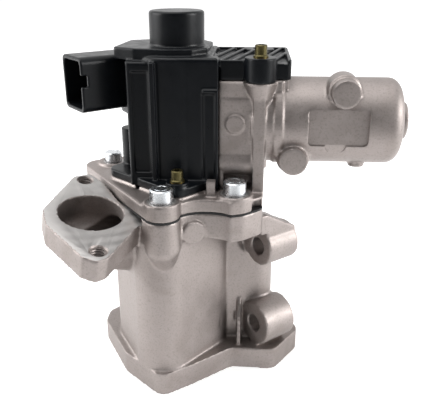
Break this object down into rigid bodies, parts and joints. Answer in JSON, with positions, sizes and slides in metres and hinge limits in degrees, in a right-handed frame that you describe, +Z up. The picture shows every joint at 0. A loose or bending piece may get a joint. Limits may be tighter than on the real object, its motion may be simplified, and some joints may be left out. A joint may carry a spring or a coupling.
{
  "type": "exhaust gas recirculation valve",
  "caption": "Electric gas valve: tilted inlet flange on a cast body, geared motor drive with a spiral cam, poppet with return spring, black cover with a socket.",
  "frame": {"origin": "centre of the exhaust port in the face of the foot", "axes": "+Z up along the valve stem, +X along the motor axis away from the valve, +Y away from the inlet flange"},
  "size_m": [0.1582, 0.1081, 0.1715],
  "materials": {
    "cast_body": "as-cast aluminium, blasted, warm grey",
    "cast_housing": "as-cast aluminium, blasted, warm grey",
    "steel": "ground steel",
    "stem_steel": "heat-resistant steel, ground",
    "gasket": "black coated gasket",
    "zinc_screw": "bright zinc plating",
    "bush": "sintered bronze",
    "seal": "dark filled PTFE",
    "spring": "spring steel",
    "nylon": "natural nylon",
    "nylon_cam": "glass-filled nylon",
    "magnet": "sintered, dark grey",
    "brass": "bright brass",
    "motor_steel": "zinc-plated steel",
    "copper": "copper",
    "plastic": "glass-filled nylon, satin black",
    "yellow_zinc": "yellow zinc plating",
    "board": "green circuit board"
  },
  "bodies": {
    "frame": {"actuator_cover": "plastic", "actuator_housing": "cast_housing", "base_screw_m5": "zinc_screw", "base_screws_m6": "zinc_screw", "body_gasket": "gasket", "brush_holder": "plastic", "cam_pin": "steel", "carrier_screws": "zinc_screw", "connector_pins": "brass", "cover_screws": "yellow_zinc", "cover_sleeves": "brass", "front_bush": "bush", "gear_carrier": "steel", "idler_pin": "steel", "motor_brushes": "magnet", "motor_magnets": "magnet", "motor_yoke": "motor_steel", "rear_bush": "bush", "sensor_board": "board", "stem_guide_bush": "bush", "stem_seal": "seal", "valve_body": "cast_body", "valve_seat_ring": "steel"},
    "armature": {"motor_shaft": "steel", "armature_core": "motor_steel", "armature_windings": "copper", "commutator": "copper", "motor_pinion": "brass"},
    "idler": {"idler_gear": "nylon"},
    "cam": {"cam_gear": "nylon_cam"},
    "stem": {"valve_stem": "stem_steel", "valve_poppet": "stem_steel", "return_spring": "spring", "spring_plate": "steel", "stem_circlip": "spring", "follower_block": "nylon", "follower_pin": "steel", "sensor_rod": "nylon", "sensor_magnet": "magnet"},
    "roller": {"follower_roller": "steel"}
  },
  "joints": [
    {"name": "motor_spin", "type": "hinge", "parent": "frame", "child": "armature", "pos_m": [0.06, 0, 0.1245], "axis": [1, 0, 0], "range_deg": [-5, 1685]},
    {"name": "idler_spin", "type": "hinge", "parent": "frame", "child": "idler", "pos_m": [0.018, 0.0141, 0.12963], "axis": [1, 0, 0], "range_deg": [-421, 1]},
    {"name": "cam_turn", "type": "hinge", "parent": "frame", "child": "cam", "pos_m": [0.013, 0, 0.11433], "axis": [1, 0, 0], "range_deg": [-1, 101]},
    {"name": "stem_lift", "type": "slide", "parent": "frame", "child": "stem", "axis": [0, 0, -1], "range_m": [0, 0.007], "stiffness_N_per_m": 800, "springref_m": -0.012, "deforming": ["return_spring"]},
    {"name": "roller_spin", "type": "hinge", "parent": "stem", "child": "roller", "pos_m": [0.012, 0, 0.12633], "axis": [1, 0, 0], "continuous": true}
  ],
  "couplings": [
    {"joint": "motor_spin", "follows": "stem_lift", "rad_per_m": 4188.8},
    {"joint": "idler_spin", "follows": "stem_lift", "rad_per_m": -1047.2},
    {"joint": "cam_turn", "follows": "stem_lift", "rad_per_m": 249.33}
  ]
}
